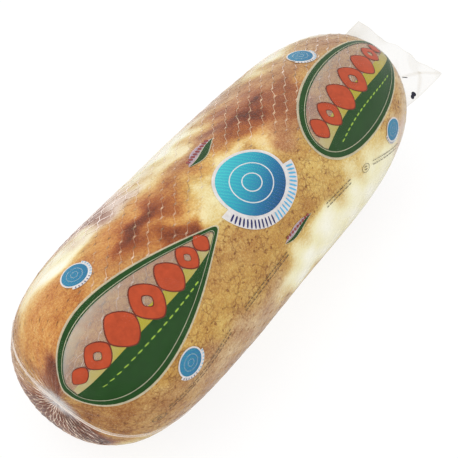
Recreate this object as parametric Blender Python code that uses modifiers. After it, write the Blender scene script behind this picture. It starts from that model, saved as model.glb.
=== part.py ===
"""A whole smoked scamorza log, netted and sealed tight in a clear bag, lying on its side.

Metres, +Z up. The log lies along X. The bag's weld crosses the -X end, and the bag's
flat free tail leaves the +X end. The origin is on the surface that the log rests on,
under the middle of the pack's box.
"""
import math

import bmesh
import bpy
from mathutils import Vector

# Driving dimensions, in metres
LOG_RADIUS = 0.056
WELD_END_LENGTH = 0.132      # from the widest section to the end with the weld
TAIL_END_LENGTH = 0.196      # from the widest section to the end with the tail
REST_FLAT_DEPTH = 0.0018     # how far the underside is pressed flat
TOUCH_GAP = 0.0003           # kept between pieces that touch

# Roundness of the two ends: higher is blunter
WELD_END_BLUNTNESS = (5.3, 2.8)
TAIL_END_BLUNTNESS = (4.9, 2.8)

# Gentle unevenness: (share of the radius, lobes around, waves to a metre, phase)
SWELLS = (
    (0.010, 0, 3.4, 1.9),
    (0.006, 2, 6.0, 0.4),
    (0.004, 3, 9.0, 2.2),
)

# The weld and the tail each lie in a plane through the log's axis, rolled about it
WELD_ROLL = math.radians(22.0)
TAIL_ROLL = math.radians(30.0)

TAIL_THICKNESS = 0.0006
TAIL_SIDE_A = 0.0265         # tail's edge on one side of the axis
TAIL_SIDE_B = -0.0370        # and on the other
TAIL_REACH_A = 0.0305        # past the log's end, along side A
TAIL_REACH_B = 0.0475        # past the log's end, along side B
TAIL_RIPPLE = 0.0022
TAIL_RIPPLES = 2.3           # ripples across the tail's width

WELD_THICKNESS = 0.0008
WELD_HEIGHT = 0.0016         # in the middle
WELD_END_HEIGHT = 0.0006     # where the weld runs out
WELD_SWEEP_A = math.radians(33.0)    # how far round the end the weld runs on side A
WELD_SWEEP_B = math.radians(50.0)    # and on side B

# Fineness of the faceted solids
LOG_SEGMENTS = 60
LOG_RINGS = 48
TAIL_CELLS = (8, 26)
WELD_CELLS = (56, 2)

# Worked out from the driving dimensions
AXIS_HEIGHT = LOG_RADIUS - REST_FLAT_DEPTH
LOW_X = -WELD_END_LENGTH - TOUCH_GAP - WELD_HEIGHT
HIGH_X = TAIL_END_LENGTH + TAIL_REACH_B
PACK_CENTRE = Vector((-(LOW_X + HIGH_X) / 2, 0.0, AXIS_HEIGHT))


def end_shape(station):
    """Length and bluntness of the end that a station of -1 to 1 lies in."""
    if station < 0:
        return WELD_END_LENGTH, WELD_END_BLUNTNESS
    return TAIL_END_LENGTH, TAIL_END_BLUNTNESS


def swell(x, angle):
    """The log's local radius as a share of its plain radius, the same on both sides."""
    share = 1.0
    for amount, lobes, waves, phase in SWELLS:
        share += amount * math.cos(lobes * angle) * math.sin(2 * math.pi * waves * x + phase)
    return share


def log_point(station, angle):
    """A point of the log's skin: station -1 to 1 along it, angle from the top about it."""
    length, (along, around) = end_shape(station)
    x = station * length
    plain = LOG_RADIUS * max(0.0, 1.0 - abs(station) ** along) ** (1.0 / around)
    radius = plain * swell(x, angle)
    height = max(radius * math.cos(angle), -AXIS_HEIGHT)
    return Vector((x, -radius * math.sin(angle), height))


def tail_end_x(side):
    """Where the log's tail end is, at a distance to one side of its axis."""
    along, around = TAIL_END_BLUNTNESS
    return TAIL_END_LENGTH * (1.0 - (abs(side) / LOG_RADIUS) ** around) ** (1.0 / along)


def make_material(name, colour, roughness, alpha=1.0):
    """A plain Principled material."""
    material = bpy.data.materials.new(name)
    material.use_nodes = True
    shader = material.node_tree.nodes["Principled BSDF"]
    shader.inputs["Base Color"].default_value = (*colour, 1.0)
    shader.inputs["Roughness"].default_value = roughness
    shader.inputs["Alpha"].default_value = alpha
    return material


def add_object(name, bm, collection, material):
    """Turn a finished bmesh into a smooth-shaded object at the pack's centre."""
    mesh = bpy.data.meshes.new(name)
    bm.to_mesh(mesh)
    bm.free()
    mesh.shade_smooth()
    mesh.materials.append(material)
    thing = bpy.data.objects.new(name, mesh)
    thing.location = PACK_CENTRE
    collection.objects.link(thing)
    return thing


def add_thickness(thing, thickness):
    """Make an open sheet solid, half of the thickness to each side."""
    solidify = thing.modifiers.new("thickness", "SOLIDIFY")
    solidify.thickness = thickness
    solidify.offset = 0.0
    solidify.use_even_offset = True


def make_log(collection):
    """The cheese in its net with the film drawn tight over it: a round-ended log."""
    bm = bmesh.new()
    bmesh.ops.create_uvsphere(bm, u_segments=LOG_SEGMENTS, v_segments=LOG_RINGS, radius=1.0)
    for vertex in bm.verts:
        angle = math.atan2(vertex.co.y, vertex.co.x)
        vertex.co = log_point(vertex.co.z, angle)
    rind = make_material("smoked_rind", (0.55, 0.30, 0.11), 0.35)
    return add_object("packed_scamorza", bm, collection, rind)


def make_tail(collection, film):
    """The bag's flat free end: a rippled sheet from the log's end to a slanting cut edge."""
    bm = bmesh.new()
    columns, rows = TAIL_CELLS
    bmesh.ops.create_grid(bm, x_segments=columns, y_segments=rows, size=1.0)
    for vertex in bm.verts:
        along = (vertex.co.x + 1.0) / 2
        across = (vertex.co.y + 1.0) / 2
        side = TAIL_SIDE_B + across * (TAIL_SIDE_A - TAIL_SIDE_B)
        reach = TAIL_REACH_B + across * (TAIL_REACH_A - TAIL_REACH_B)
        root = tail_end_x(side) + TOUCH_GAP + TAIL_THICKNESS
        tip = TAIL_END_LENGTH + reach
        ripple = TAIL_RIPPLE * along * math.sin(2 * math.pi * TAIL_RIPPLES * across + along)
        vertex.co = Vector((root + along * (tip - root), side, ripple))
    tail = add_object("bag_tail", bm, collection, film)
    tail.rotation_euler.x = TAIL_ROLL
    add_thickness(tail, TAIL_THICKNESS)
    return tail


def seam_point(sweep):
    """A point of the log's skin in the weld's plane, swept to either side of the log's end."""
    station = -math.cos(sweep)
    side_angle = math.copysign(math.pi / 2, -sweep) + WELD_ROLL
    skin = log_point(station, side_angle)
    radius = math.hypot(skin.y, skin.z)
    return Vector((skin.x, math.copysign(radius, sweep), 0.0))


def make_weld(collection, film):
    """The welded fin that crosses the log's other end, standing off the skin."""
    bm = bmesh.new()
    columns, rows = WELD_CELLS
    bmesh.ops.create_grid(bm, x_segments=columns, y_segments=rows, size=1.0)
    step = math.radians(0.5)
    for vertex in bm.verts:
        share = (vertex.co.x + 1.0) / 2
        sweep = -WELD_SWEEP_B + share * (WELD_SWEEP_A + WELD_SWEEP_B)
        base = seam_point(sweep)
        run = seam_point(sweep + step) - seam_point(sweep - step)
        outward = Vector((-run.y, run.x, 0.0)).normalized()
        crest = WELD_END_HEIGHT + math.sin(math.pi * share) * (WELD_HEIGHT - WELD_END_HEIGHT)
        height = TOUCH_GAP + (vertex.co.y + 1.0) / 2 * crest
        vertex.co = base + outward * height
    weld = add_object("bag_end_weld", bm, collection, film)
    weld.rotation_euler.x = WELD_ROLL
    add_thickness(weld, WELD_THICKNESS)
    return weld


def main():
    for thing in list(bpy.data.objects):
        bpy.data.objects.remove(thing, do_unlink=True)
    collection = bpy.data.collections.new("smoked_scamorza")
    bpy.context.scene.collection.children.link(collection)
    film = make_material("clear_film", (0.85, 0.86, 0.84), 0.12, 0.35)
    make_log(collection)
    make_tail(collection, film)
    make_weld(collection, film)


main()
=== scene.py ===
"""A smoked scamorza log in a fine net, sealed in a clear printed bag.

All of it is laid out on one skin: "run" is the distance along the log's outline from its
widest section, towards the tail, and "around" the distance round it from the top, towards -Y.
"""
import math
from functools import partial

import bpy
import numpy as np
from mathutils import Matrix, Vector


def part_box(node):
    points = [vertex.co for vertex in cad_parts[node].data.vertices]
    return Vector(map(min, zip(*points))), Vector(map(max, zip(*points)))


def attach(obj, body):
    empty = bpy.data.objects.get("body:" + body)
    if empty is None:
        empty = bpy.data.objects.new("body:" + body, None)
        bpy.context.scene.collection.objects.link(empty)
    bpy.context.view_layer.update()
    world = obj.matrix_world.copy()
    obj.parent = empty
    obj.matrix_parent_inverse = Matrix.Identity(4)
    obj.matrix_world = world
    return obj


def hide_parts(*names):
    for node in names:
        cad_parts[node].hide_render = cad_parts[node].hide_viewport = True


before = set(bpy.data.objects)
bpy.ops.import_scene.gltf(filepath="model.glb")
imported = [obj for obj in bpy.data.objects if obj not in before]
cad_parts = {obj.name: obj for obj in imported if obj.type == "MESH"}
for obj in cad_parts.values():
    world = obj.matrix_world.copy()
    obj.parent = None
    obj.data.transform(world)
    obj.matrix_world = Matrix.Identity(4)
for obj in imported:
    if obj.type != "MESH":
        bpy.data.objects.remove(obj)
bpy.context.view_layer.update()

MM = 0.001

# The log's form, as in the solids
LOG_RADIUS = 56 * MM
WELD_END_LENGTH = 132 * MM
TAIL_END_LENGTH = 196 * MM
REST_FLAT_DEPTH = 1.8 * MM
WELD_END_BLUNTNESS = (5.3, 2.8)
TAIL_END_BLUNTNESS = (4.9, 2.8)
# Gentle unevenness: (share of the radius, lobes around, waves to a metre, phase)
SWELLS = ((0.010, 0, 3.4, 1.9), (0.006, 2, 6.0, 0.4), (0.004, 3, 9.0, 2.2))
WELD_ROLL = math.radians(22.0)
TAIL_ROLL = math.radians(30.0)

WIDEST_X = Vector(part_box("packed_scamorza")[0]).x + WELD_END_LENGTH
AXIS_HEIGHT = LOG_RADIUS - REST_FLAT_DEPTH
GIRTH = 2 * math.pi * LOG_RADIUS

# Depths under the film, which is the solid's own surface
PRINT_DEPTH = 0.12 * MM
PRINT_STEP = 0.03 * MM  # between two layers of ink
RIND_DEPTH = 0.42 * MM
RIND_GROOVE = 0.10 * MM  # pressed by the net's threads
NET_RISE = 0.16 * MM  # how far a loose, clean thread's middle stands over the groove
NET_SINK = 0.12 * MM  # how far a stained one's, pressed into the rind, lies under it

# The net: hexagonal meshes whose knots lie along the log
MESH_LENGTH = 12.7 * MM
THREAD_COUNT = 84
THREAD_RADIUS = 0.25 * MM  # at a knot, where two threads lie together
LEG_GIRTH = 0.72  # a single thread's, beside that
PULLED_THINNER = 0.12
THREAD_SIDES = 5
THREAD_STEPS = 10  # points to each mesh length
NET_END_RADIUS = 3.5 * MM  # where the threads gather at the ends
KNOT_SHARE = 0.20  # of the mesh length, for each of its two knots
NEAR_PULL = (-118 * MM, -134 * MM)  # the runs over which the meshes are pulled tight
FAR_PULL = (186 * MM, 206 * MM)
STRAIN = 0.2  # how far a pulled thread strays, in pitches
STRAIN_WAVE = 13 * MM
STRAIN_SHIFT = 2.4  # from one thread to the next, in radians

RIND_CELL = 1.3 * MM
FILM_CELL = 2.0 * MM

# Random unevenness: (size of its features, how much, seed)
NET_SLIP = (9 * MM, 0.42 * MM, 21)
RIND_LUMPS = (16 * MM, 0.10 * MM, 5)
PATCH_SHIFT_ALONG = (18 * MM, 5 * MM, 11)
PATCH_SHIFT_AROUND = (14 * MM, 3.5 * MM, 12)
SMOKE_CLOUDS = (9 * MM, 0.035, 13)
GATHER_BENDS = (40 * MM, 2.5, 41)
FILM_WAVES = (12 * MM, 0.04 * MM, 42)
STREAK_BENDS = (30 * MM, 2, 43)
TAIL_CRUMPLE = (7 * MM, 0.5 * MM, 51)
TAIL_CLOUDS = (9 * MM, 1, 52)
WANDER_WAVES = 7


# ---- the skin

def build_outline(steps=900):
    """Tables along the log's outline: run, x, radius and the outward direction."""
    sweep = np.linspace(0.0, math.pi, 2 * steps + 1)
    station = -np.cos(sweep)
    near = station < 0
    length = np.where(near, WELD_END_LENGTH, TAIL_END_LENGTH)
    along = np.where(near, WELD_END_BLUNTNESS[0], TAIL_END_BLUNTNESS[0])
    around = np.where(near, WELD_END_BLUNTNESS[1], TAIL_END_BLUNTNESS[1])
    x = station * length
    radius = LOG_RADIUS * np.clip(1 - np.abs(station) ** along, 0, 1) ** (1 / around)
    run = np.concatenate([[0.0], np.cumsum(np.hypot(np.diff(x), np.diff(radius)))])
    run -= np.interp(0.0, x, run)
    dx = np.gradient(x, run)
    dr = np.gradient(radius, run)
    size = np.hypot(dx, dr)
    return {"run": run, "x": x, "radius": radius, "out_x": -dr / size, "out_r": dx / size}


OUTLINE = build_outline()
RUN_START = OUTLINE["run"][0]
RUN_END = OUTLINE["run"][-1]


def outline(key, run):
    return np.interp(run, OUTLINE["run"], OUTLINE[key])


def skin(run, around, depth):
    """World points at a depth under the film, for arrays of run and around."""
    run, around, depth = np.broadcast_arrays(run, around, depth)
    turn = around / LOG_RADIUS
    x = outline("x", run)
    swell = np.ones_like(x)
    for amount, lobes, waves, phase in SWELLS:
        swell = swell + amount * np.cos(lobes * turn) * np.sin(2 * math.pi * waves * x + phase)
    radius = outline("radius", run) * swell - depth * outline("out_r", run)
    radius = np.maximum(radius, 0.0)
    x = x - depth * outline("out_x", run)
    height = np.maximum(radius * np.cos(turn), depth - AXIS_HEIGHT)
    return np.stack([x + WIDEST_X, -radius * np.sin(turn), height + AXIS_HEIGHT], axis=-1)


def smooth_step(low, high, value):
    """0 at low and 1 at high, with a soft start and end."""
    share = np.clip((value - low) / (high - low), 0.0, 1.0)
    return share * share * (3.0 - 2.0 * share)


def wander(run, around, size, amount, seed):
    """A smooth random field, from about -amount to amount, with features of a size."""
    random = np.random.RandomState(seed)
    total = np.zeros(np.broadcast(run, around).shape)
    for _ in range(WANDER_WAVES):
        heading = random.uniform(0, math.pi)
        length = size * random.uniform(1.4, 3.2)
        lobes = round(GIRTH * math.sin(heading) / length)
        phase = random.uniform(0, 2 * math.pi)
        waves = run * math.cos(heading) / length + lobes * around / GIRTH
        total += np.sin(2 * math.pi * waves + phase)
    return total / math.sqrt(WANDER_WAVES) * amount


def round_log(around):
    """Distance round the log, from -GIRTH / 2 to GIRTH / 2."""
    return (around + GIRTH / 2) % GIRTH - GIRTH / 2


def turned(a, b, tilt, place=(0, 0)):
    """Flat coordinates, turned by degrees and moved to a place."""
    lean = math.radians(tilt)
    return (place[0] + a * math.cos(lean) + b * math.sin(lean),
            place[1] - a * math.sin(lean) + b * math.cos(lean))


def paint(run, around, patches, start):
    """Soft-edged ovals painted over each other, in the order of the tables."""
    values = np.tile(np.array(start, float), (*run.shape, 1))
    for patch_run, patch_around, long, wide, tilt, softness, *shades in patches:
        along, across = turned(run - patch_run * MM, round_log(around - patch_around * MM), -tilt)
        distance = np.hypot(along / (long * MM), across / (wide * MM))
        weight = 1 - smooth_step(1 - softness, 1 + softness, distance)
        values += weight[..., None] * (np.array(shades) - values)
    return values


# ---- the net's layout

PITCH = GIRTH / THREAD_COUNT
SIDE_BY_SIDE = THREAD_RADIUS / PITCH


def sway(run):
    """-1 to 1: where the even threads lean as they zigzag along the log."""
    zigzag = 4 * np.abs(run / MESH_LENGTH % 1.0 - 0.5) - 1
    return np.clip(zigzag / (1 - 2 * KNOT_SHARE), -1, 1)


def thread_around(index, run):
    """How far round the log a thread is. The soft net has slipped a little."""
    lean = 1 if index % 2 == 0 else -1
    around = (index + lean * sway(run) * (0.5 - SIDE_BY_SIDE)) * PITCH
    return around + wander(run, around, *NET_SLIP)


def thread_distance(run, around):
    """Distance to the nearest thread, as a share of the open cell's half width."""
    spot = (around - wander(run, around, *NET_SLIP)) / PITCH
    base = np.floor(spot)
    lean = sway(run) * (0.5 - SIDE_BY_SIDE)
    nearest = np.full(np.broadcast(run, around).shape, 9.0)
    for offset in (-1, 0, 1, 2):
        index = base + offset
        place = index + np.where(index % 2 == 0, 1, -1) * lean
        nearest = np.minimum(nearest, np.abs(spot - place))
    return nearest


# ---- meshes

def srgb(code):
    """A hex sRGB colour as linear red, green, blue and one."""
    parts = [int(code[i:i + 2], 16) / 255 for i in (0, 2, 4)]
    linear = [p / 12.92 if p <= 0.04045 else ((p + 0.055) / 1.055) ** 2.4 for p in parts]
    return (*linear, 1.0)


def grid_faces(rows, columns, wrap=False):
    """Quads over a grid of points, facing outwards where the grid lies on the skin."""
    i, j = np.meshgrid(np.arange(rows - 1), np.arange(columns if wrap else columns - 1), indexing="ij")
    k = (j + 1) % columns
    low, high = i * columns, (i + 1) * columns
    return np.stack([low + j, low + k, high + k, high + j], axis=-1).reshape(-1, 4).tolist()


def new_object(name, data):
    thing = bpy.data.objects.new(name, data)
    bpy.context.scene.collection.objects.link(thing)
    return thing


def make_object(name, points, faces, material, uv=None):
    """A smooth-shaded mesh object at the origin, with its place in its mesh."""
    mesh = bpy.data.meshes.new(name)
    mesh.from_pydata(np.asarray(points).reshape(-1, 3).tolist(), [], faces)
    if uv is not None:
        layer = mesh.uv_layers.new(name="layout")
        corners = np.empty(len(mesh.loops), dtype=np.int32)
        mesh.loops.foreach_get("vertex_index", corners)
        layer.data.foreach_set("uv", np.asarray(uv)[corners].astype(np.float32).ravel())
    mesh.shade_smooth()
    mesh.materials.append(material)
    return new_object(name, mesh)


def add_values(thing, name, values):
    """One number to each point, for a material to read."""
    layer = thing.data.attributes.new(name, "FLOAT", "POINT")
    layer.data.foreach_set("value", np.asarray(values, dtype=np.float32).ravel())


def add_thickness(thing, thickness):
    """Make an open sheet solid, half of the thickness to each side."""
    solidify = thing.modifiers.new("thickness", "SOLIDIFY")
    solidify.thickness = thickness
    solidify.offset = 0.0


def closed_skin(cell):
    """A grid over the whole log: runs and arounds, without its two poles."""
    rows = round((RUN_END - RUN_START) / cell)
    columns = round(GIRTH / cell)
    runs = np.linspace(RUN_START, RUN_END, rows + 1)[1:-1]
    arounds = np.arange(columns) * GIRTH / columns - GIRTH / 2
    return np.meshgrid(runs, arounds, indexing="ij")


def closed_object(name, run, around, depth, material):
    """A closed skin over the whole log, with a fan of triangles at each pole."""
    rows, columns = run.shape
    faces = grid_faces(rows, columns, wrap=True)
    first = rows * columns
    for j in range(columns):
        k = (j + 1) % columns
        faces.append((first, k, j))
        faces.append((first + 1, (rows - 1) * columns + j, (rows - 1) * columns + k))
    pole_depths = np.array([depth[0].mean(), depth[-1].mean()])
    poles = skin(np.array([RUN_START, RUN_END]), np.zeros(2), pole_depths)
    points = np.concatenate([skin(run, around, depth).reshape(-1, 3), poles])
    return make_object(name, points, faces, material)


# ---- materials

# Kinds of nodes, with their settings
NOISE = "ShaderNodeTexNoise"
RANGE = "ShaderNodeMapRange"
RAMP = "ShaderNodeValToRGB"
MIX = ("ShaderNodeMix", {"data_type": "RGBA"})
DEEPEN = ("ShaderNodeMix", {"data_type": "RGBA", "blend_type": "MULTIPLY"})
PUSH = ("ShaderNodeVectorMath", {"operation": "MULTIPLY_ADD"})
TIMES_UP_TO_ONE = ("ShaderNodeMath", {"operation": "MULTIPLY", "use_clamp": True})
PLUS, MINUS, TIMES, TIMES_PLUS, LARGER, BELOW = (
    ("ShaderNodeMath", {"operation": operation})
    for operation in ("ADD", "SUBTRACT", "MULTIPLY", "MULTIPLY_ADD", "MAXIMUM", "LESS_THAN"))

# The film's gloss is a coat on what lies under it. Its IOR is under the film's own 1.5,
# because in light from all round the full gloss would veil the colours.
FILM_ROUGHNESS = 0.12
UNDER_FILM = {"Roughness": 0.5, "Specular_IOR_Level": 0.1, "Coat_IOR": 1.28,
              "Coat_Roughness": FILM_ROUGHNESS}
INK_GLOSS = 0.6

# Smoke's colours from where none reached, 0, to the darkest, 1
GOLDEN = ((0.00, "F6F3E0"), (0.14, "ECE4B6"), (0.32, "D4B465"), (0.48, "BE9246"),
          (0.66, "A06A2C"), (0.84, "7C3E15"), (1.00, "54240B"))
RUSTY = ((0.00, "F6F0DA"), (0.14, "F2DDA8"), (0.32, "DDAE66"), (0.48, "CA8844"),
         (0.66, "A65824"), (0.84, "823A14"), (1.00, "54220A"))
MAUVE = ((0.00, "F5EEE8"), (0.18, "E2D0C6"), (0.34, "C8AC9C"), (0.50, "A8806E"),
         (0.66, "8C5A46"), (0.84, "703C2A"), (1.00, "502616"))

# Sizes of the patterns, in millimetres
SMOKE_BLOTCH = 5.88  # across; the curd was drawn out along the log, so it runs on
BLOTCH_STRETCH = 0.34  # its scale along the log, beside that
RIND_GRAIN = 1.111
GRAIN_WEIGHT = 1.15  # beside the blotches
RIND_CRACK_CELL = 3.70
CRACK_BEND_SIZE = 2.38
CRACK_BEND = 2.8
CRACK_PATCH = 7.14  # over which the cracks come and go
RIND_PIT_CELL = 3.03
THREAD_WEAR = 7.69
INK_MOTTLE = 4.55  # coarser than real, so that it shows

INK_LIGHT = 1.45  # the thinnest ink's colour, beside its middle one
INK_LIFT = 0.004
INK_DARK = 0.60
FADE_MOTTLE = 0.3

# The fine bent lines on the blue discs. Real ones are closer; 2.2 mm apart, they show.
DISC_SLANT = 0.42
DISC_LINES = {"Scale": 3.4, "Distortion": 2.2, "Detail": 1.0, "Detail_Scale": 0.8}
DISC_LINE_TURN = math.radians(42.0)


def new_material(name):
    """A material, what adds nodes to it, and its Principled shader."""
    material = bpy.data.materials.new(name)
    material.use_nodes = True
    tree = material.node_tree
    return material, partial(node, tree), tree.nodes["Principled BSDF"]


def cells(size):
    """The texture scale that gives features of a size in millimetres."""
    return round(1000 / size)


def feed(made, *first, **named):
    """Link or set a node's inputs: the first ones in order, others by name or by _number."""
    given = {f"_{index}": value for index, value in enumerate(first)}
    for key, value in {**given, **named}.items():
        socket = made.inputs[int(key[1:])] if key[0] == "_" else made.inputs[key.replace("_", " ")]
        if isinstance(value, bpy.types.NodeSocket):
            made.id_data.links.new(value, socket)
        else:
            socket.default_value = value


def node(tree, kind, *first, out=0, stops=(), **named):
    """Add a node, feed its inputs, and give one of its outputs.

    A kind with settings of its own is a pair. A colour ramp has stops: (place, hex colour).
    """
    name, settings = (kind, {}) if isinstance(kind, str) else kind
    made = tree.nodes.new(name)
    for key, value in settings.items():
        setattr(made, key, value)
    for _ in stops[2:]:
        made.color_ramp.elements.new(0.5)
    for index, (place, code) in enumerate(stops):
        made.color_ramp.elements[index].position = place
        made.color_ramp.elements[index].color = srgb(code)
    feed(made, *first, **named)
    return made.outputs[out]


def rind_colour(add):
    """Smoke on cheese: cream where it didn't reach, golden, rust or mauve brown where it did."""
    place = add("ShaderNodeTexCoord", out="Object")
    drawn = add("ShaderNodeMapping", Vector=place, Scale=(BLOTCH_STRETCH, 1.0, 1.0))
    shade, rose, rust = (add(("ShaderNodeAttribute", {"attribute_name": name}), out="Fac")
                         for name in ("shade", "rose", "rust"))
    blotch = add(NOISE, Vector=drawn, Scale=cells(SMOKE_BLOTCH), Detail=4.0, Roughness=0.7)
    grain = add(NOISE, Vector=place, Scale=cells(RIND_GRAIN), Detail=2.0, Roughness=0.6)
    mottle = add(TIMES_PLUS, grain, GRAIN_WEIGHT, blotch)
    swing = add(MINUS, mottle, (1 + GRAIN_WEIGHT) / 2)
    reach = add(RANGE, shade, 0.05, 0.45, 0.05, 0.38)
    swing = add(TIMES, swing, reach)
    varied = add(PLUS, shade, swing)
    golden, rusty, mauve = (add(RAMP, varied, stops=stops) for stops in (GOLDEN, RUSTY, MAUVE))
    colour = add(MIX, out=2, _0=rust, _6=golden, _7=rusty)
    colour = add(MIX, out=2, _0=rose, _6=colour, _7=mauve)
    reddened = add(PLUS, rust, rose)
    golden_share = add(RANGE, reddened, 0.15, 0.75, 1.0, 0.22)
    return place, shade, rust, grain, golden_share, colour


def rind_material():
    """Stretched-curd cheese, smoked over wood until its surface dried to a thin skin.

    The eye sees a satin rind, cream where smoke didn't reach and tan to dark brown where it
    did, in blotches drawn out along the log. Fine dark cracks and pits mark the smoked part.
    """
    material, add, shader = new_material("smoked_rind")
    place, shade, _, grain, golden_share, body = rind_colour(add)
    smoked = add(RANGE, shade, 0.24, 0.40)
    smoked = add(TIMES, smoked, golden_share)
    push = add(NOISE, Vector=place, Scale=cells(CRACK_BEND_SIZE), Detail=2.0, out="Color")
    bent = add(PUSH, push, [CRACK_BEND * MM] * 3, place)
    edges = add(("ShaderNodeTexVoronoi", {"feature": "DISTANCE_TO_EDGE"}),
                Vector=bent, Scale=cells(RIND_CRACK_CELL))
    crack = add(RANGE, edges, 0.0, 0.14, 0.66, 0.0)
    broken = add(NOISE, Vector=place, Scale=cells(CRACK_PATCH), Detail=3.0)
    broken = add(RANGE, broken, 0.42, 0.60, 0.15)
    crack = add(TIMES, crack, broken)
    spots = add("ShaderNodeTexVoronoi", Vector=bent, Scale=cells(RIND_PIT_CELL), Randomness=1.0).node
    size = add("ShaderNodeSeparateColor", Color=spots.outputs["Color"])
    limit = add(RANGE, size, 0.55, 1.0, 0.0, 0.36)
    pit = add(BELOW, spots.outputs["Distance"], limit)
    pit = add(TIMES, pit, 0.75)
    mark = add(LARGER, crack, pit)
    mark = add(TIMES, mark, smoked)
    darker = add(DEEPEN, out=2, _0=1.0, _6=body, _7=srgb("A0744C"))
    colour = add(MIX, out=2, _0=mark, _6=body, _7=darker)
    bump = add("ShaderNodeBump", Strength=0.25, Distance=0.3 * MM, Height=grain)
    feed(shader, Base_Color=colour, Normal=bump, Coat_Weight=1.0, **UNDER_FILM)
    return material


def net_material():
    """Cotton thread, twisted and knitted into a tube of hexagons, its plies too fine to show.

    The eye sees it matt: white where it is clean, and the rind's own colour, with darker
    flecks at the knots, where smoke and whey stained it. Its rising legs are drawn whiter
    than its falling ones: a painted highlight.
    """
    material, add, shader = new_material("cotton_net_thread")
    place, shade, rust, _, golden_share, body = rind_colour(add)
    clean, knot = (add(("ShaderNodeAttribute", {"attribute_name": name}), out="Fac")
                   for name in ("clean", "knot"))
    wear = add(NOISE, Vector=place, Scale=cells(THREAD_WEAR), Detail=4.0, Roughness=0.75)
    fleck = add(RANGE, wear, 0.45, 0.56, 0.0, 0.9)
    smoked = add(RANGE, shade, 0.24, 0.42)
    fleck = add(TIMES, fleck, smoked)
    tied = add(LARGER, knot, golden_share)
    fleck = add(TIMES, fleck, tied)
    stained = add(MIX, out=2, _0=fleck, _6=body, _7=srgb("74481E"))
    uneven = add(RANGE, wear, 0.38, 0.62, 1.15, 0.15)
    # White from clean cotton and from the painted highlight on rising legs
    whiteness = add(TIMES, clean, uneven)
    whiteness = add(TIMES_UP_TO_ONE, whiteness, 0.92)
    cotton = add(MIX, out=2, _0=rust, _6=srgb("F8E9E0"), _7=srgb("F2CFA6"))
    colour = add(MIX, out=2, _0=whiteness, _6=stained, _7=cotton)
    feed(shader, Base_Color=colour, Roughness=0.6, Specular_IOR_Level=0.3)
    return material


def ink_mottle(add):
    """Where the ink is thicker or thinner, because a soft plate pressed it on."""
    place = add("ShaderNodeTexCoord", out="Object")
    return add(NOISE, Vector=place, Scale=cells(INK_MOTTLE), Detail=5.0, Roughness=0.7)


def ink_material(name, code, alpha=1.0):
    """Flexographic ink, printed on the film from a soft plate: flat, uneven in depth, glossy."""
    material, add, shader = new_material(name)
    colour = srgb(code)[:3]
    light = (*(min(1.0, c * INK_LIGHT + INK_LIFT) for c in colour), 1.0)
    dark = (*(c * INK_DARK for c in colour), 1.0)
    mixed = add(MIX, out=2, _0=ink_mottle(add), _6=dark, _7=light)
    feed(shader, Base_Color=mixed, Alpha=alpha, Coat_Weight=INK_GLOSS, **UNDER_FILM)
    return material


def layout_parts(add):
    """The piece's own flat layout, in units of PRINT_UNIT, and its X and Y."""
    where = add(("ShaderNodeUVMap", {"uv_map": "layout"}))
    return where, add("ShaderNodeSeparateXYZ", Vector=where).node.outputs


def faded_ink_material(name, direction, reach, stops, alpha):
    """Flexographic ink, screened from one colour into another along or across its piece."""
    material, add, shader = new_material(name)
    _, parts = layout_parts(add)
    fade = add(RANGE, parts[direction], reach[0], reach[1])
    fade = add(TIMES_PLUS, ink_mottle(add), FADE_MOTTLE, fade)
    fade = add(MINUS, fade, FADE_MOTTLE / 2)
    colour = add(RAMP, fade, stops=stops)
    feed(shader, Base_Color=colour, Alpha=alpha, Coat_Weight=INK_GLOSS, **UNDER_FILM)
    return material


def blue_disc_material(name, stops):
    """Flexographic blue ink, screened with fine bent lines, and deeper towards one side."""
    material, add, shader = new_material(name)
    where, parts = layout_parts(add)
    across = add(TIMES, parts["X"], DISC_SLANT)
    slope = add(PLUS, across, parts["Y"])
    fade = add(RANGE, slope, -1.0, 1.0)
    colour = add(RAMP, fade, stops=stops)
    turned = add("ShaderNodeMapping", Vector=where, Rotation=(0.0, 0.0, DISC_LINE_TURN))
    lines = add(("ShaderNodeTexWave", {"wave_type": "BANDS", "bands_direction": "X"}),
                out="Fac", Vector=turned, **DISC_LINES)
    faint = add(TIMES, lines, 0.30)
    lined = add(MIX, out=2, _0=faint, _6=colour, _7=srgb("2A62B0"))
    feed(shader, Base_Color=lined, Coat_Weight=INK_GLOSS, **UNDER_FILM)
    return material


def film_material(name, tint="F6F7F7"):
    """Polyethylene and polyamide film, blown, and shrunk on in hot water.

    The eye looks through it, and sees it only by its gloss and where it gathers, folds or is
    welded: there it is milky. By the weld, part of that milkiness is a painted highlight.
    """
    material, add, shader = new_material(name)
    haze = add(("ShaderNodeAttribute", {"attribute_name": "haze"}), out="Fac")
    feed(shader, Base_Color=srgb(tint), Roughness=FILM_ROUGHNESS, Alpha=haze)
    return material


# ---- cheese

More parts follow.
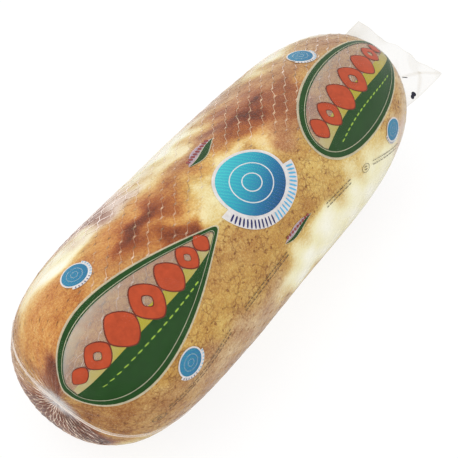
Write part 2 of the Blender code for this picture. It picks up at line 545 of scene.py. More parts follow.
# Smoke on the rind: run, around, half length, half width, tilt, softness, shade, rose,
# in millimetres and degrees. Shade runs from cream, 0, to dark brown, 1.
SMOKE = (
    (-128, -26, 30, 38, 0, 0.7, 0.47, 0), (-156, -14, 11, 34, 0, 0.8, 0.8, 0.62),
    (-151, -3, 6, 9, 0, 0.7, 0.88, 0.5), (-80, -41, 36, 18, -20, 0.5, 0.04, 0.05),
    (-38, -40, 26, 18, 0, 0.4, 0.29, 1), (-47, -39, 15, 10, 0, 0.6, 0.58, 1),
    (-42, -54, 24, 9, 0, 0.6, 0.76, 1), (-32, -26, 22, 7, 0, 0.7, 0.28, 0.8),
    (-54, -15, 42, 9, -5, 0.7, 0.51, 0), (-112, -8, 16, 6, 0, 0.7, 0.55, 0),
    (-24, -14, 18, 6, 0, 0.8, 0.46, 0.1), (-43, -3, 27, 6.5, 3, 0.7, 0.88, 0),
    (-46, -5, 11, 3.5, 0, 0.7, 0.95, 0), (-12, -5, 20, 6.5, 10, 0.8, 0.66, 0),
    (-46, 10, 20, 10, 0, 0.7, 0.61, 0), (-40, 15, 9, 7, 0, 0.7, 0.8, 0),
    (-12, 19, 18, 15, 0, 0.6, 0.21, 0), (20, -45, 37, 18, 0, 0.5, 0, 0.05),
    (4, -25, 26, 5, 0, 0.8, 0.22, 0.2), (24, -13, 26, 6, 0, 0.7, 0.54, 0.5),
    (22, -6, 34, 4, 0, 0.7, 0.55, 0.1), (16, 3, 32, 5, 0, 0.7, 0.2, 0),
    (48, 14, 14, 11, 0, 0.6, 0.23, 0), (66, -13, 36, 13, 6, 0.7, 0.65, 0.3),
    (39, -17, 12, 4, 0, 0.7, 0.66, 0.7), (66, -6, 23, 7, 0, 0.6, 0.88, 0.05),
    (70, -5, 9, 5, 0, 0.6, 0.95, 0), (80, 10, 19, 12, -10, 0.45, 0.71, 0.35),
    (58, 9, 5, 4.5, 0, 0.7, 0.28, 0), (46, -1, 14, 5, 0, 0.7, 0.78, 0),
    (8, -2, 15, 3.5, 0, 0.8, 0.38, 0), (-14, 1.5, 13, 4, -5, 0.8, 0.52, 0),
    (-28, 8, 8, 4, 0, 0.8, 0.32, 0), (-37, 17, 8, 6, 0, 0.7, 0.84, 0),
    (-18, -22, 12, 4.5, 0, 0.8, 0.3, 0.1), (-27, -35, 13, 6, 0, 0.8, 0.26, 0.9),
    (62, 17, 8, 10, 0, 0.6, 0.56, 0.4), (74, -36, 22, 8, 0, 0.7, 0.47, 0.6),
    (76, -47, 28, 9, 0, 0.7, 0.22, 0.95), (114, -30, 14, 9, 0, 0.7, 0.26, 0.1),
    (136, -44, 34, 13, 6, 0.6, 0.03, 0.1), (90, -37, 13, 10, 0, 0.7, 0.5, 0.4),
    (158, -43, 22, 14, 0, 0.7, 0.02, 0.3), (174, -26, 10, 14, 0, 0.8, 0.02, 0.8),
    (128, -22, 22, 8, 0, 0.7, 0.37, 0.3), (106, -12, 20, 9, 0, 0.7, 0.54, 0.4),
    (94, -5, 18, 6, 0, 0.7, 0.7, 0.3), (154, -10, 26, 13, 0, 0.7, 0.53, 0.5),
    (60, 48, 38, 14, 0, 0.7, 0.41, 0), (98, 61, 28, 9, -4, 0.7, 0.31, 0),
    (10, 58, 34, 11, 0, 0.7, 0.54, 0), (-68, 60, 52, 14, 0, 0.7, 0.47, 0),
    (-100, 86, 50, 14, 0, 0.7, 0.53, 0.3), (-66, 84, 22, 13, 0, 0.7, 0.47, 0.4),
    (-146, 88, 24, 24, 0, 0.7, 0.64, 0.2), (-30, 89, 42, 13, 0, 0.7, 0.42, 0.45),
    (42, 88, 40, 20, 0, 0.5, 0.05, 0), (110, 94, 56, 25, 0, 0.6, 0.07, 0),
    (152, 80, 12, 12, 0, 0.7, 0.3, 0.9), (186, 54, 24, 50, 0, 0.8, 0.34, 0.3),
    (-60, 132, 52, 26, 10, 0.7, 0.6, 0.2), (48, 146, 60, 28, -8, 0.7, 0.34, 0.1),
    (150, 140, 40, 26, 0, 0.7, 0.55, 0.5), (120, -96, 54, 30, 6, 0.7, 0.6, 0.6),
    (14, -92, 56, 26, -6, 0.7, 0.22, 0.1), (-72, -92, 44, 30, 12, 0.7, 0.66, 0.5),
    (-10, -140, 70, 20, 8, 0.7, 0.5, 0.1), (-146, -98, 34, 34, 0, 0.7, 0.48, 0.45),
    (-150, -146, 26, 48, 0, 0.4, 0.86, 0.45), (-142, 146, 20, 26, 0, 0.4, 0.96, 0.5),
    (-108, 136, 15, 22, 0, 0.6, 0.3, 0.1), (226, 0, 34, 400, 0, 0.6, 0.56, 0.5),
)

# Where the smoke turned the rind a redder, rustier brown: the same, with one value, 0 to 1
RUST = (
    (-124, -24, 36, 34, 0, 0.7, 0.9), (-52, -8, 48, 16, 0, 0.7, 0.9),
    (-44, 14, 20, 14, 0, 0.7, 0.8), (66, -4, 38, 24, 0, 0.8, 0.9),
    (24, -8, 34, 10, 0, 0.8, 0.6), (-150, 190, 40, 66, 0, 0.3, 0.4),
)

# Where the net is clean and white: the same, with 0 for stained, 1 for clean, and over 1 for
# clean thread that lies loose and thick
CLEAN = (
    (20, -84, 260, 92, 0, 0.16, 0.95), (60, -14, 180, 18, 0, 0.5, 0.9),
    (-52, -6, 50, 22, 0, 0.5, 0.72), (-100, 16, 48, 18, 0, 0.4, 1),
    (128, 18, 62, 24, 8, 0.4, 1), (72, -4, 38, 22, 0, 0.5, 1),
    (-40, 10, 16, 16, 0, 0.4, 0.75), (-128, -26, 30, 36, 0, 0.4, 0.08),
    (-94, -26, 22, 12, 0, 0.4, 0.1), (-4, -16, 18, 12, 0, 0.5, 0.6),
    (-37, -41, 25, 20, 10, 0.35, 2), (-150, 190, 40, 66, 0, 0.2, 1.15),
    (-140, -90, 30, 18, 0, 0.4, 0.8),
)

OPEN_RIND = (0.50, 0.12)  # shade and rose where no patch is painted
NEAR_POLE = {"shade": 0.70, "rose": 0.6, "rust": 0.3}
FAR_POLE = {"shade": 0.58, "rose": 0.5, "rust": 0.3}


def rind_depth(run, around, pressed):
    """The rind's depth under the film. Pressed is 1 in a thread's groove, 0 in an open cell."""
    waist = smooth_step(6 * MM, 22 * MM, outline("radius", run))
    return RIND_DEPTH + pressed * RIND_GROOVE * waist + wander(run, around, *RIND_LUMPS)


def rind_values(run, around):
    """How smoked, how rosy and how rusty the rind is, each 0 to 1."""
    shifted_run = run + wander(run, around, *PATCH_SHIFT_ALONG)
    shifted_around = around + wander(run, around, *PATCH_SHIFT_AROUND)
    shades = paint(shifted_run, shifted_around, SMOKE, OPEN_RIND)
    shade = shades[..., 0] + wander(run, around, *SMOKE_CLOUDS)
    rust = paint(shifted_run, shifted_around, RUST, (0,))[..., 0]
    return {"shade": np.clip(shade, 0, 1), "rose": np.clip(shades[..., 1], 0, 1), "rust": rust}


def make_rind():
    """The cheese itself. Its soft cells swell between the net's threads."""
    run, around = closed_skin(RIND_CELL)
    pressed = 1 - smooth_step(0.05, 0.62, thread_distance(run, around))
    depth = rind_depth(run, around, pressed)
    rind = closed_object("smoked_cheese_rind", run, around, depth, rind_material())
    for key, values in rind_values(run, around).items():
        add_values(rind, key, np.append(values.ravel(), [NEAR_POLE[key], FAR_POLE[key]]))
    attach(rind, "root")
    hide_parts("packed_scamorza")


# ---- net

def sweep_tree(material):
    """Geometry nodes that sweep a round thread along the edges of a mesh."""
    tree = bpy.data.node_groups.new("sweep_threads", "GeometryNodeTree")
    tree.interface.new_socket("Geometry", in_out="INPUT", socket_type="NodeSocketGeometry")
    radius = tree.interface.new_socket("Thread Radius", in_out="INPUT", socket_type="NodeSocketFloat")
    sides = tree.interface.new_socket("Sides", in_out="INPUT", socket_type="NodeSocketInt")
    tree.interface.new_socket("Geometry", in_out="OUTPUT", socket_type="NodeSocketGeometry")
    add = partial(node, tree)
    inputs = tree.nodes.new("NodeGroupInput").outputs
    paths = add("GeometryNodeMeshToCurve", Mesh=inputs["Geometry"])
    circle = add("GeometryNodeCurvePrimitiveCircle",
                 Resolution=inputs["Sides"], Radius=inputs["Thread Radius"])
    girth = add(("GeometryNodeInputNamedAttribute", {"data_type": "FLOAT"}), Name="girth")
    swept = add("GeometryNodeCurveToMesh", Curve=paths, Profile_Curve=circle,
                Scale=girth, Fill_Caps=True)
    smooth = add("GeometryNodeSetShadeSmooth", Geometry=swept)
    real = add("GeometryNodeRealizeInstances", Geometry=smooth)
    dressed = add("GeometryNodeSetMaterial", Geometry=real, Material=material)
    feed(tree.nodes.new("NodeGroupOutput"), Geometry=dressed)
    return tree, radius.identifier, sides.identifier


def thread_path(index):
    """One thread's points, and what the material and the sweep read at each."""
    step = MESH_LENGTH / THREAD_STEPS
    run = np.arange(math.ceil(RUN_START / step), math.floor(RUN_END / step) + 1) * step
    run = run[outline("radius", run) > NET_END_RADIUS]
    pulled = smooth_step(*NEAR_PULL, run) + smooth_step(*FAR_PULL, run)
    strain = STRAIN * PITCH * np.sin(2 * math.pi * run / STRAIN_WAVE + STRAIN_SHIFT * index)
    around = thread_around(index, run) + pulled * strain
    slope = np.gradient(around, run)
    knot = 1 - smooth_step(0.1, 0.7, np.abs(slope))
    clean = paint(run, around, CLEAN, (0,))[:, 0]
    # A mesh's rising legs are drawn whiter than its falling ones, a painted highlight where
    # the film lies over them, and whiter still where the net lies steep on the flank, pulled or loose
    loose = smooth_step(1.0, 1.3, clean)
    steep = np.maximum(np.maximum(smooth_step(-20 * MM, -52 * MM, around), pulled), loose)
    falling = 0.10 + 0.80 * smooth_step(0.5, 1.0, clean)
    leg_highlight = np.where(slope > 0.3, 0.10 + 0.75 * steep, falling)
    thick = np.maximum(knot, smooth_step(1.2, 1.6, clean))
    girth = LEG_GIRTH + (1 - LEG_GIRTH) * thick - PULLED_THINNER * pulled
    # The cotton's clean white together with the painted highlight on rising legs
    clean = clean * (leg_highlight + (1 - leg_highlight) * knot)
    proud = np.clip(clean, 0, 1)
    depth = rind_depth(run, around, 1) + NET_SINK - (NET_SINK + NET_RISE) * proud
    depth = np.maximum(depth, THREAD_RADIUS * girth + PRINT_DEPTH)
    values = {**rind_values(run, around), "clean": clean, "knot": knot, "girth": girth}
    return skin(run, around, depth), values


def make_net(name, indices, material):
    """Threads of the net over one side of the log, swept as thin tubes."""
    paths = [thread_path(index) for index in indices]
    edges = []
    count = 0
    for path, _ in paths:
        edges += [(count + i, count + i + 1) for i in range(len(path) - 1)]
        count += len(path)
    guide_mesh = bpy.data.meshes.new(name + "_paths")
    guide_mesh.from_pydata(np.concatenate([path for path, _ in paths]).tolist(), edges, [])
    guide = new_object(name + "_paths", guide_mesh)
    for key in paths[0][1]:
        add_values(guide, key, np.concatenate([values[key] for _, values in paths]))
    tree, radius, sides = sweep_tree(material)
    modifier = guide.modifiers.new("threads", "NODES")
    modifier.node_group = tree
    modifier[radius] = THREAD_RADIUS
    modifier[sides] = THREAD_SIDES
    net = evaluated_copy(name, guide)
    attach(net, "root")
    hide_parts("packed_scamorza")


def evaluated_copy(name, guide):
    """A plain mesh object of what a guide's modifiers make. The guide is removed."""
    depsgraph = bpy.context.evaluated_depsgraph_get()
    mesh = bpy.data.meshes.new_from_object(guide.evaluated_get(depsgraph), depsgraph=depsgraph)
    mesh.name = name
    bpy.data.objects.remove(guide, do_unlink=True)
    return new_object(name, mesh)


# ---- print

# All in millimetres, on the flat. A design is a list of parts: the end of its name, shapes,
# layer, counted from the deepest ink, 0, outwards, and ink.
PRINT_UNIT = 24.0  # of the pieces' own UV maps

BADGE_RIM = 4.4
RIM_LINE = (0.74, 0.84)  # where the pale line lies in the rim, from its outer edge
FIELD_REACH = 0.985  # how far the two fields run under the rim
DASH_SHARES = (-0.66, 0.50, 0.075)  # from, to and step, as shares of the badge's half length
DASH = (1.5, 0.4)
LOZENGE_WIDTHS = (0.092, 0.118, 0.140, 0.146, 0.126, 0.100, 0.074)
LOZENGE_GAP = 1.3
LOZENGE_EDGE = 0.8
LOZENGE_HOLE = 0.36
LOZENGE_POWER = 1.5

# A disc's border and the reach of its band of marks, as shares of the disc, its rings' width,
# a mark's half sizes, the degrees between marks, and its inks
LARGE_DISC = (1.09, 1.38, 0.8, (0.55, 2.6), 5.5, "blue", "pale_ring")
SMALL_DISC = (1.12, 1.30, 0.5, (0.26, 0.6), 12.0, "deep_blue", "faint_ring")
MARK_BAND = {"inner": 0.76, "start": 8, "end": 170}
MARK_SWEEPS = (("navy", 98, 164), ("sky", 14, 92))
RING_SHARES = ((0.64, 96), (0.30, 64))  # of the disc, and each ring's spokes


def egg_outline(halves, angles, power, taper):
    """Points of an ellipse, lozenge or egg at the given angles. Power 2 is an ellipse, 1 a diamond."""
    cosine, sine = np.cos(angles), np.sin(angles)
    reach = (np.abs(cosine) ** power + np.abs(sine) ** power) ** (-1 / power)
    a = reach * cosine * halves[0]
    return a, reach * sine * halves[1] * (1 - taper * a / halves[0])


def oval(centre, halves, power=2.0, tilt=0.0, rings=8, spokes=72, inner=0.0, start=0.0, end=360.0):
    """A disc, lozenge or ring: a grid of points, and its faces."""
    whole = abs(end - start) >= 360.0
    count = spokes if whole else spokes + 1
    a, b = egg_outline(halves, np.radians(start + (end - start) * np.arange(count) / spokes), power, 0.0)
    shares = np.linspace(inner, 1.0, rings + 1)[:, None]
    points = np.stack(turned(shares * a, shares * b, tilt, centre), axis=-1)
    return points.reshape(-1, 2), grid_faces(rings + 1, count, wrap=whole)


def rule(centre, halves, power=6, tilt=0.0):
    """A short thin mark with square or round ends."""
    return oval(centre, halves, power=power, tilt=tilt, rings=1, spokes=16)


def egg_ring(inner, outer, power, taper, rings, spokes=160):
    """The area between two eggs, given by their half sizes."""
    angles = 2 * math.pi * np.arange(spokes) / spokes
    small, large = (np.stack(egg_outline(halves, angles, power, taper), axis=-1)
                    for halves in (inner, outer))
    shares = np.linspace(0, 1, rings + 1)[:, None, None]
    points = small + (large - small) * shares
    return points.reshape(-1, 2), grid_faces(rings + 1, spokes, wrap=True)


def band(low, high, start, end, steps=48, across=6):
    """The area between two curves b = low(a) and b = high(a)."""
    a = np.linspace(start, end, steps + 1)
    share = np.linspace(0, 1, across + 1)
    b = low(a)[:, None] + (high(a) - low(a))[:, None] * share[None, :]
    points = np.stack([np.broadcast_to(a[:, None], b.shape), b], axis=-1)
    return points.reshape(-1, 2), grid_faces(steps + 1, across + 1)


def joined(shapes):
    """Several shapes as one list of points and faces."""
    points, faces, count = [], [], 0
    for shape_points, shape_faces in shapes:
        points.append(shape_points)
        faces += [[index + count for index in face] for face in shape_faces]
        count += len(shape_points)
    return np.concatenate(points), faces


def print_piece(name, shapes, place, tilt, layer, material):
    """Lay flat shapes on the skin under the film, at a run and around."""
    points, faces = joined(shapes)
    run, around = turned(points[:, 0], points[:, 1], tilt, place)
    places = skin(run * MM, around * MM, PRINT_DEPTH - layer * PRINT_STEP)
    piece = make_object(name, places, faces, material, uv=points / PRINT_UNIT)
    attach(piece, "root")
    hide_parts("packed_scamorza")


def make_inks():
    """The print's inks: solid ones, screened ones, and the blue discs' two."""
    inks = {}
    for name, code, alpha in (
            ("green", "143F0A", 1), ("orange_red", "AE4320", 1), ("dark_red", "6A2A1A", 1),
            ("maroon", "8E3C3A", 0.85), ("pale_edge", "D2CDB0", 0.62), ("pale_halo", "F4ECEA", 0.82),
            ("lavender", "C4B6C8", 0.6), ("navy", "272A5E", 1), ("sky", "5BA9CF", 1),
            ("pale_ring", "DCEAEC", 0.85), ("faint_ring", "C8DCEC", 0.3), ("lime", "8FB23E", 1),
            ("grey", "52422E", 0.75)):
        inks[name] = ink_material(name + "_ink", code, alpha)
    inks["yellow"] = faded_ink_material("yellow_ink", "X", (-2.6, 2.6), (
        (0, "CABE92"), (0.30, "C0B248"), (0.5, "BAB02A"), (0.72, "C0B248"), (1, "CABE92")), 0.72)
    # The panel's pale bluish top edge is a painted sheen; below it, greyish pink printed ink
    inks["pale_panel_and_sheen"] = faded_ink_material("pale_panel_and_sheen_ink", "Y", (-1.25, 0.2), (
        (0, "C8DAD6"), (0.35, "C2AEA4"), (1, "BCA294")), 0.40)
    inks["blue"] = blue_disc_material("blue_ink", (
        (0.05, "46C6C6"), (0.40, "2EA4B2"), (0.70, "1E6E92"), (0.98, "1A3E66")))
    inks["deep_blue"] = blue_disc_material("deep_blue_ink", (
        (0.05, "3A8EA8"), (0.50, "2E7D98"), (0.98, "1E5A80")))
    return inks


def lozenge_chain(long, wide, taper):
    """Outlines and fills of a row of lozenges, every second one with a hole."""
    widths = np.array(LOZENGE_WIDTHS) * long
    starts = np.concatenate([[0.0], np.cumsum(2 * widths + LOZENGE_GAP)])
    offset = 0.6 - starts[-1] / 2
    rims, fills = [], []
    for index, width in enumerate(widths):
        a = offset + starts[index] + width
        tall = width * (1.2 - 0.3 * taper * a / long)
        centre = (a, -0.13 * wide * (1 - taper * a / long))
        hole = LOZENGE_HOLE if index % 2 else 0.0
        outer = (width + LOZENGE_EDGE, tall + LOZENGE_EDGE)
        rims.append(oval(centre, outer, power=LOZENGE_POWER, spokes=48, inner=hole * 0.78))
        fills.append(oval(centre, (width, tall), power=LOZENGE_POWER, spokes=48, inner=hole, rings=6))
    return rims, fills


def badge(halves, power, taper):
    """An egg-shaped badge: a chain of lozenges over yellow and green fields."""
    long, wide = halves
    length = long - BADGE_RIM
    edge = length * FIELD_REACH

    def ring(outer, inner, rings=2):
        return egg_ring((long - inner, wide - inner), (long - outer, wide - outer), power, taper, rings)

    def inside(a):
        share = np.clip(np.abs(a) / length, 0, 1)
        return (wide - BADGE_RIM) * (1 - share ** power) ** (1 / power) * (1 - taper * a / length)

    def wave(a):
        return (0.27 + 0.12 * np.sin(a / long * 2.6 - 0.6)) * wide * (1 - 0.8 * taper * a / long)

    yellow = band(lambda a: np.minimum(wave(a) - 0.26 * wide * (1 - 0.5 * taper * a / long), inside(a)),
                  lambda a: np.minimum(wave(a), inside(a)), -edge, edge)
    green = band(wave, lambda a: np.maximum(inside(a) * 1.02, wave(a)), -edge, edge)
    dashes = []
    for share in np.arange(*DASH_SHARES):
        a = share * long
        lift = 0.24 * wide * (1 - 0.8 * taper * share)
        dashes.append(rule((a, wave(a) + lift), DASH, power=5))
    rims, fills = lozenge_chain(long, wide, taper)
    return [
        ("_halo", [ring(-1.5, 1)], 0, "pale_edge"),
        ("_panel", [egg_ring((0.1, 0.1), (long - 1, wide - 1), power, taper, 16)], 1, "pale_panel_and_sheen"),
        ("_rim", [ring(0, BADGE_RIM, 3)], 4, "green"),
        ("_rim_line", [ring(*(share * BADGE_RIM for share in RIM_LINE))], 5, "pale_edge"),
        ("_yellow_field", [yellow], 2, "yellow"),
        ("_green_field", [green], 3, "green"),
        ("_field_dashes", dashes, 4, "lime"),
        ("_lozenge_outlines", rims, 4, "dark_red"),
        ("_lozenges", fills, 5, "orange_red")]


def blue_disc(halves, style):
    """A blue disc with pale rings, and a pale border with short marks along one side."""
    a, b = halves
    border, rim, ring_width, mark, step, blue, ring = style
    middle = (border + rim) / 2
    thin = ring_width / a
    parts = [
        ("_border", [oval((0, 0), (a * border, b * border)),
                     oval((0, 0), (a * rim, b * rim), rings=4, **MARK_BAND)], 1, "pale_halo"),
        ("", [oval((0, 0), (a, b), rings=10, spokes=96)], 3, blue),
        ("_rings", [oval((0, 0), (a * share, b * share), inner=1 - thin / share, rings=1, spokes=spokes)
                    for share, spokes in RING_SHARES], 4, ring)]
    for shade, first, last in MARK_SWEEPS:
        marks = []
        for angle in np.arange(first, last, step):
            lean = math.radians(angle)
            centre = (a * middle * math.cos(lean), b * middle * math.sin(lean))
            marks.append(oval(centre, mark, power=4, tilt=90 - angle, rings=1, spokes=12))
        parts.append((f"_{shade}_marks", marks, 4, shade))
    return parts


def small_badge(height):
    """A small pale lens with a row of dots over a green leaf."""

    def curve(reach, half):
        return lambda a: height * reach * np.cos(math.pi / 2 * a / half)

    def leaf(low, high, half):
        return band(lambda a: curve(low, half)(a) - 0.8 * np.sin(a / 5),
                    lambda a: curve(high, half)(a) - 0.8 * np.sin(a / 5), -half, half)

    dots = [oval((-10.8 + 2.7 * i, -2.3 * height), (1.15, 1.4 * height), rings=2, spokes=20)
            for i in range(9)]
    return [
        ("_field", [band(curve(-5.4, 14.6), curve(1.2, 14.6), -14.6, 14.6)], 1, "lavender"),
        ("_leaf_edge", [leaf(-0.5, 4.6, 15.2)], 2, "pale_edge"),
        ("_leaf", [leaf(0.1, 4.0, 14.4)], 3, "green"),
        ("_dots", dots, 3, "maroon")]


def rules(length, seed):
    """Two lines of short grey rules, where a pack has its small print."""
    random = np.random.RandomState(seed)
    shapes = []
    for line in range(2):
        a = -length / 2
        while a < length / 2:
            dash = random.uniform(1.2, 4.0)
            shapes.append(rule((a + dash / 2, line * 2.3), (dash / 2, 0.34)))
            a += dash + random.uniform(0.5, 0.8)
    return [("", shapes, 3, "grey")]


def make_print():
    """Everything printed on the bag. A design has a name, its run and around, a tilt and parts."""
    inks = make_inks()
    plain_oval = [("", [oval((0, 0), (4.4, 2.7), inner=0.88, rings=1, spokes=40),
                        rule((0, -0.8), (1.6, 0.3)), rule((0, 0.8), (1.6, 0.3))], 3, "grey")]
    for name, place, tilt, parts in (
            ("near_badge", (-89, 31), 3, badge((66, 26.5), 2.8, 0.85)),
            ("far_badge", (129, 30), 7, badge((62, 28), 2.0, 0.05)),
            ("large_disc", (16.5, 24.8), -6, blue_disc((23.6, 18.6), LARGE_DISC)),
            ("small_disc_1", (-93, -16), 20, blue_disc((7.8, 7.6), SMALL_DISC)),
            ("small_disc_2", (-86, 70), 20, blue_disc((7.8, 7.4), SMALL_DISC)),
            ("small_disc_3", (129, -12), 0, blue_disc((7.0, 8.2), SMALL_DISC)),
            ("small_disc_4", (138, 71), -20, blue_disc((8.2, 6.8), SMALL_DISC)),
            ("small_badge_1", (18, -9.5), 6, small_badge(1.0)),
            ("small_badge_2", (23.5, 62.5), 1, small_badge(0.6)),
            ("rules_1", (-15, 69), 4, rules(46, 31)), ("rules_2", (-79, 81), 17, rules(54, 32)),
            ("rules_3", (66, 67), -4, rules(27, 33)), ("rules_4", (124, 79), -20, rules(36, 34)),
            ("plain_oval_1", (98, 72), -18, plain_oval), ("plain_oval_2", (-110, 95), 18, plain_oval)):
        for part, shapes, layer, ink in parts:
            print_piece(name + part, shapes, place, tilt, layer, inks[ink])


# ---- film

NEAR_GATHERS = (-110 * MM, -158 * MM)  # the runs over which the film gathers
FAR_GATHERS = (170 * MM, 218 * MM)
GATHER_HEIGHT = 0.18 * MM
GATHERS = 1.3  # radians to each thread's pitch
STREAKS = 3.1
GLARE_HALVES = (15 * MM, 6 * MM)  # of the milky patch by the weld, a painted highlight: along and across it
GLARE_SHIFT = 1 * MM

TAIL_SIDE_A = 26.5 * MM
TAIL_SIDE_B = -37.0 * MM
TAIL_REACH_A = 30.5 * MM
TAIL_REACH_B = 47.5 * MM
TAIL_RIPPLE = 1.2 * MM
TAIL_RIPPLES = 2.3
TAIL_GRID = (90, 130)
TAIL_FILM = 0.12 * MM
# Folds pressed into the tail: from and to, as shares along and across it
TAIL_FOLDS = (((0.50, 0.28), (0.82, 0.18)), ((0.82, 0.18), (0.98, 0.03)), ((0.82, 0.18), (0.50, 0.03)))
FOLD_WIDTH = 0.035

WELD_SWEEP = (math.radians(-50), math.radians(33))  # how far round the end it runs
WELD_GRID = (9, 200)
WELD_FILM = 0.2 * MM


def make_film():
    """The bag drawn tight over the log, with gathers that run to its two ends."""
    run, around = closed_skin(FILM_CELL)
    near, far = (smooth_step(*reach, run) for reach in (NEAR_GATHERS, FAR_GATHERS))
    gathers = np.sin(around / PITCH * GATHERS + wander(run, around, *GATHER_BENDS))
    depth = (near + far) * gathers * GATHER_HEIGHT + wander(run, around, *FILM_WAVES)
    film = closed_object("clear_film", run, around, depth, film_material("shrink_film"))
    haze = 0.004 + far * smooth_step(0.55, 1.0, gathers) * 0.16
    haze = haze + near * smooth_step(0.75, 1.0, gathers) * 0.03
    reach = outline("radius", run)
    # A milky patch by the weld, broken into streaks: a painted highlight on the film
    from_weld = around / LOG_RADIUS - WELD_ROLL
    along_weld = reach * np.sin(from_weld) / GLARE_HALVES[0]
    across_weld = (reach * np.cos(from_weld) + GLARE_SHIFT) / GLARE_HALVES[1]
    glare = (1 - smooth_step(0.1, 1.3, np.hypot(along_weld, across_weld))) * (run < 0)
    streaks = 0.7 + 0.3 * np.sin(around / PITCH * STREAKS + wander(run, around, *STREAK_BENDS))
    haze = np.maximum(haze, 0.90 * glare * streaks)
    add_values(film, "haze", np.append(haze.ravel(), [0.75, 0.3]))
    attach(film, "root")
    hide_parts("packed_scamorza")


def tail_spot(side):
    """Share across the tail, where it leaves the log and where it is cut, at a side distance."""
    lengthwise, around_power = TAIL_END_BLUNTNESS
    root = TAIL_END_LENGTH * (1 - (np.abs(side) / LOG_RADIUS) ** around_power) ** (1 / lengthwise)
    across = (side - TAIL_SIDE_B) / (TAIL_SIDE_A - TAIL_SIDE_B)
    return across, root, TAIL_END_LENGTH + TAIL_REACH_B + across * (TAIL_REACH_A - TAIL_REACH_B)


def tail_points(x, side, lift=0.0):
    """World points on the crumpled tail, or a little over it."""
    across, root, tip = tail_spot(side)
    along = (x - root) / (tip - root)
    ripple = TAIL_RIPPLE * along * np.sin(2 * math.pi * TAIL_RIPPLES * across + along)
    crumple = wander(x, side, *TAIL_CRUMPLE) * along
    points = np.stack([x, side, ripple + crumple + lift], axis=-1).reshape(-1, 3)
    turn = np.array(Matrix.Translation((WIDEST_X, 0, AXIS_HEIGHT)) @ Matrix.Rotation(TAIL_ROLL, 4, "X"))
    return points @ turn[:3, :3].T + turn[:3, 3]


def near_line(a, b, start, end, width):
    """1 on a straight line between two places, falling to 0 at its width."""
    step = np.subtract(end, start)
    a, b = a - start[0], b - start[1]
    share = np.clip((a * step[0] + b * step[1]) / (step @ step), 0, 1)
    return 1 - smooth_step(0, width, np.hypot(a - share * step[0], b - share * step[1]))


def make_tail(film):
    """The bag's free end: a crumpled flat sheet that grows out of the log's end."""
    rows, columns = TAIL_GRID
    along, across = np.meshgrid(np.linspace(0, 1, rows), np.linspace(0, 1, columns), indexing="ij")
    drawn_in = 5 * MM * (1 - along) ** 2 * (1 - across) ** 3
    side = TAIL_SIDE_B + across * (TAIL_SIDE_A - TAIL_SIDE_B) + drawn_in
    _, root, tip = tail_spot(side)
    x = root + along * (tip - root)
    tail = make_object("bag_tail_film", tail_points(x, side), grid_faces(rows, columns), film)
    edge = np.minimum(np.minimum(across, 1 - across) * 64, (1 - along) * 44)
    haze = 0.06 + 0.045 * (1 - smooth_step(0.4, 1.6, edge))
    haze = haze + 0.20 * smooth_step(0.5, 0.95, across) * (1 - 0.7 * along)
    haze = haze + 0.16 * (1 - smooth_step(0.0, 0.45, along))
    haze = haze + 0.05 * np.clip(wander(x, side, *TAIL_CLOUDS), 0, 1)
    for start, end in TAIL_FOLDS:
        haze = haze + 0.09 * near_line(along, across, start, end, FOLD_WIDTH)
    add_values(tail, "haze", haze)
    add_thickness(tail, TAIL_FILM)
    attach(tail, "root")
    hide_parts("bag_tail")


def make_tail_marks(ink):
    """Two dark spots and a short rule printed on the tail, which guide the bag's cutting."""
    points, faces = joined([
        oval((209.2, -32.5), (1.8, 1.4), tilt=-20, rings=3, spokes=24),
        oval((211.6, -31.9), (1.9, 1.7), tilt=30, rings=3, spokes=24),
        rule((218.5, -20.5), (1.8, 0.35), tilt=50)])
    places = tail_points(points[:, 0] * MM, points[:, 1] * MM, TAIL_FILM)
    marks = make_object("tail_marks", places, faces, ink)
    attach(marks, "root")
    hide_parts("bag_tail")


def make_weld(film):
    """The welded edge across the near end: a narrow ruffled ribbon of film."""
    rows, columns = WELD_GRID
    sweep = np.linspace(*WELD_SWEEP, columns)
    run = np.interp(-np.cos(sweep) * WELD_END_LENGTH, OUTLINE["x"], OUTLINE["run"])
    side_turn = np.where(sweep > 0, -math.pi / 2, math.pi / 2) + WELD_ROLL
    share = np.linspace(0, 1, columns)
    crest = (0.4 + 1.0 * np.sin(math.pi * share)) * MM
    points = []
    for row in range(rows):
        lift = crest * row / (rows - 1)
        flutter = 0.5 * MM * np.sin(share * 26 + row * 0.3) * row / (rows - 1)
        points.append(skin(run, side_turn * LOG_RADIUS + flutter, -lift))
    weld = make_object("bag_weld_film", np.stack(points), grid_faces(rows, columns), film)
    # The weld's milkiness, whiter towards the middle of its sweep: milky welded film with a painted
    # highlight
    bright = 0.50 + 0.40 * np.sin(math.pi * share) ** 2
    level = np.abs(np.linspace(-1, 1, rows))[:, None] ** 1.5
    middle = 0.12 + 0.55 * smooth_step(0.40, 0.62, share)
    add_values(weld, "haze", bright * (middle + (1 - middle) * level))
    add_thickness(weld, WELD_FILM)
    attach(weld, "root")
    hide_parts("bag_end_weld")


# ---- studio

PHOTO_SIZE = 458
PHOTO_SCALE = 0.567 * MM  # metres to a pixel at the log's middle
CAMERA_DISTANCE = 1600 * PHOTO_SCALE
CAMERA_AZIMUTH = math.radians(57.42)  # turn of the view from +Y towards +X
CAMERA_ELEVATION = math.radians(43.06)
SENSOR_WIDTH = 36.0
AIM = Vector((-0.0422, 0.0, 0.0542))
AIM_PIXEL = (210.4, 238.7)

KEY_PLACE = Vector((-0.7, 0.3, 1.5))
KEY_AIM = Vector((0, 0, 0.05))
KEY_SIZE = 1.2
KEY_POWER = 4.8
FLOOR_REACH = 6.0
WHITE = srgb("FFFFFF")
# Strengths, and what gloss shows instead: a dimmer floor, which leaves the colours deep
SKY_GLOW = (1.0, 1.1)
FLOOR_GLOW = (0.86, 0.5)


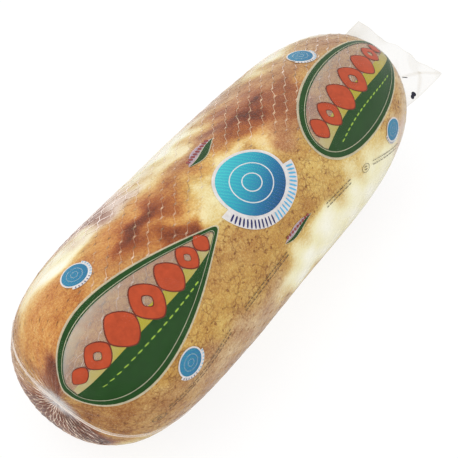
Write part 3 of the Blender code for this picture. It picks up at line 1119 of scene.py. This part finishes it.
def make_camera():
    level = math.cos(CAMERA_ELEVATION)
    forward = Vector((math.sin(CAMERA_AZIMUTH) * level, math.cos(CAMERA_AZIMUTH) * level,
                      -math.sin(CAMERA_ELEVATION)))
    data = bpy.data.cameras.new("camera")
    camera = new_object("camera", data)
    camera.location = AIM - forward * CAMERA_DISTANCE
    camera.rotation_euler = forward.to_track_quat("-Z", "Y").to_euler()
    data.sensor_width = SENSOR_WIDTH
    data.lens = SENSOR_WIDTH * CAMERA_DISTANCE / PHOTO_SCALE / PHOTO_SIZE
    data.shift_x = (PHOTO_SIZE / 2 - AIM_PIXEL[0]) / PHOTO_SIZE
    data.shift_y = (AIM_PIXEL[1] - PHOTO_SIZE / 2) / PHOTO_SIZE
    bpy.context.scene.camera = camera


def make_key_light():
    """One wide soft lamp, kept out of the gloss."""
    data = bpy.data.lights.new("key", "AREA")
    data.shape = "DISK"
    data.size = KEY_SIZE
    data.energy = KEY_POWER
    light = new_object("key", data)
    light.location = KEY_PLACE
    light.rotation_euler = (KEY_AIM - KEY_PLACE).to_track_quat("-Z", "Y").to_euler()
    light.visible_glossy = False


def glow(add, plain, in_gloss):
    """A strength, and another one for glossy rays."""
    gloss = add("ShaderNodeLightPath", out="Is Glossy Ray")
    return add(RANGE, gloss, _3=plain, _4=in_gloss)


def make_studio():
    """A plain pale floor in soft white light from all round."""
    scene = bpy.context.scene
    scene.view_settings.view_transform = "Standard"
    world = bpy.data.worlds.new("studio")
    world.use_nodes = True
    sky = world.node_tree
    feed(sky.nodes["Background"], Color=WHITE, Strength=glow(partial(node, sky), *SKY_GLOW))
    scene.world = world
    # Matt painted board, which shows no shine, only the log's faint shadow
    material, add, shader = new_material("matt_painted_board")
    feed(shader, Base_Color=srgb("707070"), Roughness=0.9, Specular_IOR_Level=0.0,
         Emission_Color=WHITE, Emission_Strength=glow(add, *FLOOR_GLOW))
    reach = FLOOR_REACH
    corners = [(-reach, -reach, 0), (reach, -reach, 0), (reach, reach, 0), (-reach, reach, 0)]
    floor = make_object("floor", corners, [(0, 1, 2, 3)], material)
    make_key_light()


def main():
    make_camera()
    make_rind()
    threads = net_material()
    make_net("net_upper", range(-THREAD_COUNT // 4, THREAD_COUNT // 4), threads)
    make_net("net_lower", range(THREAD_COUNT // 4, THREAD_COUNT * 3 // 4), threads)
    make_print()
    make_film()
    make_tail(film_material("tail_film", "BCAE8E"))
    make_tail_marks(ink_material("dark_ink", "16162A"))
    make_weld(film_material("weld_film", "F8F0E8"))
    make_studio()


main()
